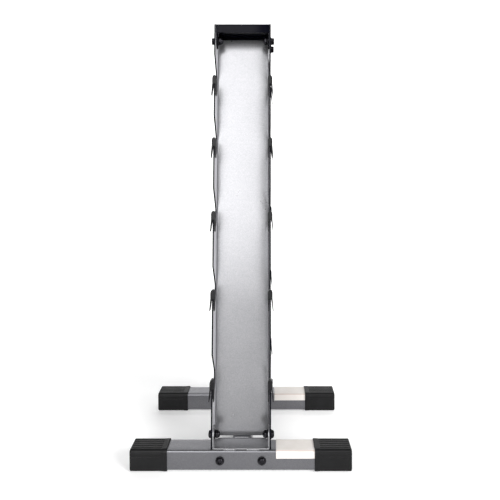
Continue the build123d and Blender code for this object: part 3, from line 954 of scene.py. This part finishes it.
cap_part = hook_cap_shells()
plate_mid = (INNER_X + OUTER_X) / 2
for end, side in SIDES.items():
    for hand_name, hand in HANDS.items():
        for number, height in enumerate(HOOK_TIPS, start=1):
            tip = along_leg(height)

            def on_finger(across, up, out):
                """Finger directions to the frame's, through the leaning leg."""
                far, high_up = on_leg(out, tip + up)
                return hand * (plate_mid + across), side * far, high_up

            node = f"{end}_{hand_name}_hook_cap_{number}"
            part = moved(cap_part, on_finger)
            add_piece(node + "_moulded", [part], black_plastic, [node])
print("hook cap:", len(cap_part[1]), "faces, twenty of them")

# %% [markdown]
# ## Bolts, washers and nuts
# Turned parts are a profile spun round an axis. A hexagon is the same thing with a radius that depends on
# the angle: the distance to a flat divided by the cosine of the angle from that flat's middle. Mixing the
# two lets one profile go from a round washer face to a six-sided head or socket.

# %% Fasteners


def turned(profile, around=48):
    """Rings from a profile of (radius or distance to the flats, height, share of hexagon). The first and
    last rings have no radius, so they close into poles."""
    profile = np.asarray(profile, float)
    turn = np.linspace(0, 2 * np.pi, around, endpoint=False)[None, :]
    flat = (turn + np.pi / 6) % (np.pi / 3) - np.pi / 6
    share = profile[:, 2:3]
    radius = profile[:, 0:1] * ((1 - share) + share / np.cos(flat))
    height = np.broadcast_to(profile[:, 1:2], radius.shape)
    return shell(np.stack([radius * np.cos(turn), radius * np.sin(turn), height], axis=-1))


def arc_profile(radius, height, bend, count, first, last):
    """Steps (radius, height, 0) of a rounding about (radius, height), turning from first to last degrees."""
    a = np.radians(np.linspace(first, last, count))
    return [(radius + bend * np.cos(t), height + bend * np.sin(t), 0.0) for t in a]


SHANK = 4.0
WASHER = 1.6
NUT = 8.0
SPARE_THREAD = 1.2
BUTTON_RADIUS = 7.0
button_head = [(0, 2.0, 1), (1.2, 2.0, 1), (2.45, 2.05, 1), (2.5, 2.15, 1), (2.5, 4.1, 1)]
button_head += [(2.75, 4.35, 0.7), (3.1, 4.4, 0), (3.6, 4.4, 0)] + arc_profile(3.4, 0.8, 3.6, 9, 84, 4)
button_head += [(BUTTON_RADIUS, 0.4, 0), (6.8, 0.05, 0)]
hex_head = [(0, 4.9, 0), (3.0, 4.9, 0), (4.2, 4.9, 0), (4.4, 5.3, 0), (5.9, 5.3, 0), (6.35, 5.05, 0.5)]
hex_head += [(6.5, 4.5, 1), (6.5, 4.2, 1), (6.5, 0.5, 1), (6.3, 0.1, 0.8), (6.1, 0.0, 0.4)]


def shank(length):
    """Thread below the head: ridges 1.25 mm apart near the end, then a chamfered tip."""
    thread_top = -length + 16
    rows = np.arange(thread_top, -length + 1.2, -0.3125)
    ridge = SHANK - 0.3 + 0.3 * np.cos(2 * np.pi * rows / 1.25)
    steps = [(SHANK, 0.0, 0), (SHANK, thread_top + 0.4, 0)]
    steps += [(r, h, 0) for r, h in zip(ridge, rows)]
    return steps + [(3.2, -length + 0.1, 0), (2.8, -length, 0), (0, -length, 0)]


washer_profile = [(4.3, 0.0, 0), (7.9, 0.0, 0), (8.2, 0.25, 0)]
washer_profile += [(radius, WASHER - height, 0) for radius, height, _ in washer_profile[::-1]]
nut_profile = [(4.0, 0.1, 0), (4.6, 0, 0), (6.2, 0, 0.4), (6.5, 0.5, 1), (6.5, 5.3, 1), (6.3, 5.8, 0.6)]
nut_profile += [(5.6, 6.0, 0), (5.4, 6.3, 0), (5.3, 7.6, 0), (5.0, NUT, 0), (4.4, NUT, 0), (4.0, 7.6, 0)]


def placed(part, origin, axis):
    """A turned part with its axis laid along axis and its zero height at origin."""
    axis = np.asarray(axis, float)
    first = unit(np.cross(axis, [0.3, 0.5, 0.2]))
    second = np.cross(axis, first)
    return np.asarray(origin, float) + part[0] @ np.stack([first, second, axis]), part[1], part[2]


def fastener_set(name, spots, head, grip):
    """Bolt, two washers and nut for each spot (point on the outer face, outward direction). The grip is
    the metal between the washers; the nut sits behind the inner washer, and a little thread is to spare."""
    bolt = turned(head + shank(grip + 2 * WASHER + NUT + SPARE_THREAD))
    ring = turned(washer_profile + washer_profile[:1])
    lock = turned(nut_profile + nut_profile[:1])
    bolts, rings, locks = [], [], []
    for point, axis in spots:
        point, axis = np.asarray(point, float), np.asarray(axis, float)
        inner = point - (grip + WASHER) * axis
        bolts.append(placed(bolt, point + WASHER * axis, axis))
        rings.append(placed(ring, point, axis))
        rings.append(placed(ring, inner, axis))
        locks.append(placed(lock, inner, -axis))
    add_piece(f"{name}_bolts_plated", bolts, black_zinc, [f"{name}_bolts"])
    add_piece(f"{name}_washers_plated", rings, black_zinc, [f"{name}_washers"])
    add_piece(f"{name}_nuts_plated", locks, black_zinc, [f"{name}_nuts"])
    print(name, "fasteners:", len(spots), "bolts with a grip of", round(float(grip), 1), "mm")


leg_low, leg_high = box_mm("leg_nuts")
leg_bolt_z = (leg_low[2] + leg_high[2]) / 2
stretcher_x = box_mm("stretcher_bolts")[1][0] - BUTTON_RADIUS
sheet_grip = OUTER_X - INNER_X + SHEET
pairs = [(side, hand) for side in SIDES.values() for hand in HANDS.values()]
head_spots = [((hand * OUTER_X, side * HEAD_BOLT_Y, head_bolt_z), (hand, 0, 0)) for side, hand in pairs]
leg_spots = [((hand * OUTER_X, side * FOOT_Y, leg_bolt_z), (hand, 0, 0)) for side, hand in pairs]
tube_face = FOOT_Y + TUBE / 2
stretcher_spots = [((hand * stretcher_x, side * tube_face, TUBE_MID), (0, side, 0)) for side, hand in pairs]
fastener_set("head", head_spots, hex_head, sheet_grip)
fastener_set("leg", leg_spots, button_head, sheet_grip)
fastener_set("stretcher", stretcher_spots, button_head, TUBE + FLANGE)

# %% [markdown]
# ## Labels
# A blank label lies over the top and the upper front of each foot. Film that goes round a corner never
# lies dead flat: it stands off a few hundredths of a millimetre, ripples a little between its upper and
# lower edges, and lifts at one corner.

# %% Labels


FILM = 0.12


def label_sheet(side, low, high):
    """Film as a function of the distance along the foot and the distance round its section: up the front,
    round the corner, and over the top. It stands 0.06 mm out with ripples of 0.04 mm added, and the lower
    left corner lifts by 0.5 mm, dying away as exp(-d ** 2). The rim attribute carries painted shade along the
    crease."""
    front = side * FOOT_Y - TUBE / 2
    bend = TUBE_CORNER
    up = np.linspace(low[2], TUBE_TOP - bend, 14)
    turn = np.linspace(np.pi, np.pi / 2, 12)[1:]
    over = np.linspace(front + bend, high[1], 30)[1:]
    y = np.concatenate([np.full(len(up), front), front + bend + bend * np.cos(turn), over])
    z = np.concatenate([up, TUBE_TOP - bend + bend * np.sin(turn), np.full(len(over), TUBE_TOP)])
    normal_y = np.concatenate([np.full(len(up), -1.0), np.cos(turn), np.zeros(len(over))])
    normal_z = np.concatenate([np.zeros(len(up)), np.sin(turn), np.ones(len(over))])
    x = np.linspace(low[0], high[0] + 2.0, 60)[:, None]
    run = np.linspace(0, 1, len(y))[None, :]
    ripple = 0.06 + 0.04 * np.sin(x / 5.3 + 7 * run) * np.sin(np.pi * run)
    ripple = ripple + 0.5 * np.exp(-(((x - low[0]) / 3.0) ** 2) - (run / 0.05) ** 2)
    film_y = y[None] + ripple * normal_y[None]
    film_z = z[None] + ripple * normal_z[None]
    points = np.stack([x + 0 * run, film_y, film_z], axis=-1)
    under = points - np.stack([0 * normal_y, normal_y, normal_z], axis=-1)[None] * FILM
    crease = len(up) + len(turn) // 2
    # painted shade along the bend over the corner, fed to the rim attribute
    fold = 0.8 * np.exp(-(((np.arange(len(y)) - crease) / 1.6) ** 2))
    part = shell(np.concatenate([points, under[:, ::-1]], axis=1))
    return part[0], part[1], np.tile(np.concatenate([fold, fold[::-1]]), len(x))


for end, side in SIDES.items():
    name = f"{end}_foot_label"
    low, high = box_mm(name)
    film = label_sheet(side, low, high)
    label = add_piece(name + "_film", [film], label_film, [name])
    print(label.name, len(label.data.polygons), "faces")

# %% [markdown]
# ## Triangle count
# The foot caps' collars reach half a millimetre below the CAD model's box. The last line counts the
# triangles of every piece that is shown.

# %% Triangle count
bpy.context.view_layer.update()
triangles = sum(len(p.vertices) - 2 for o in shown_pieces() for p in o.data.polygons)
print("triangles in all:", triangles)
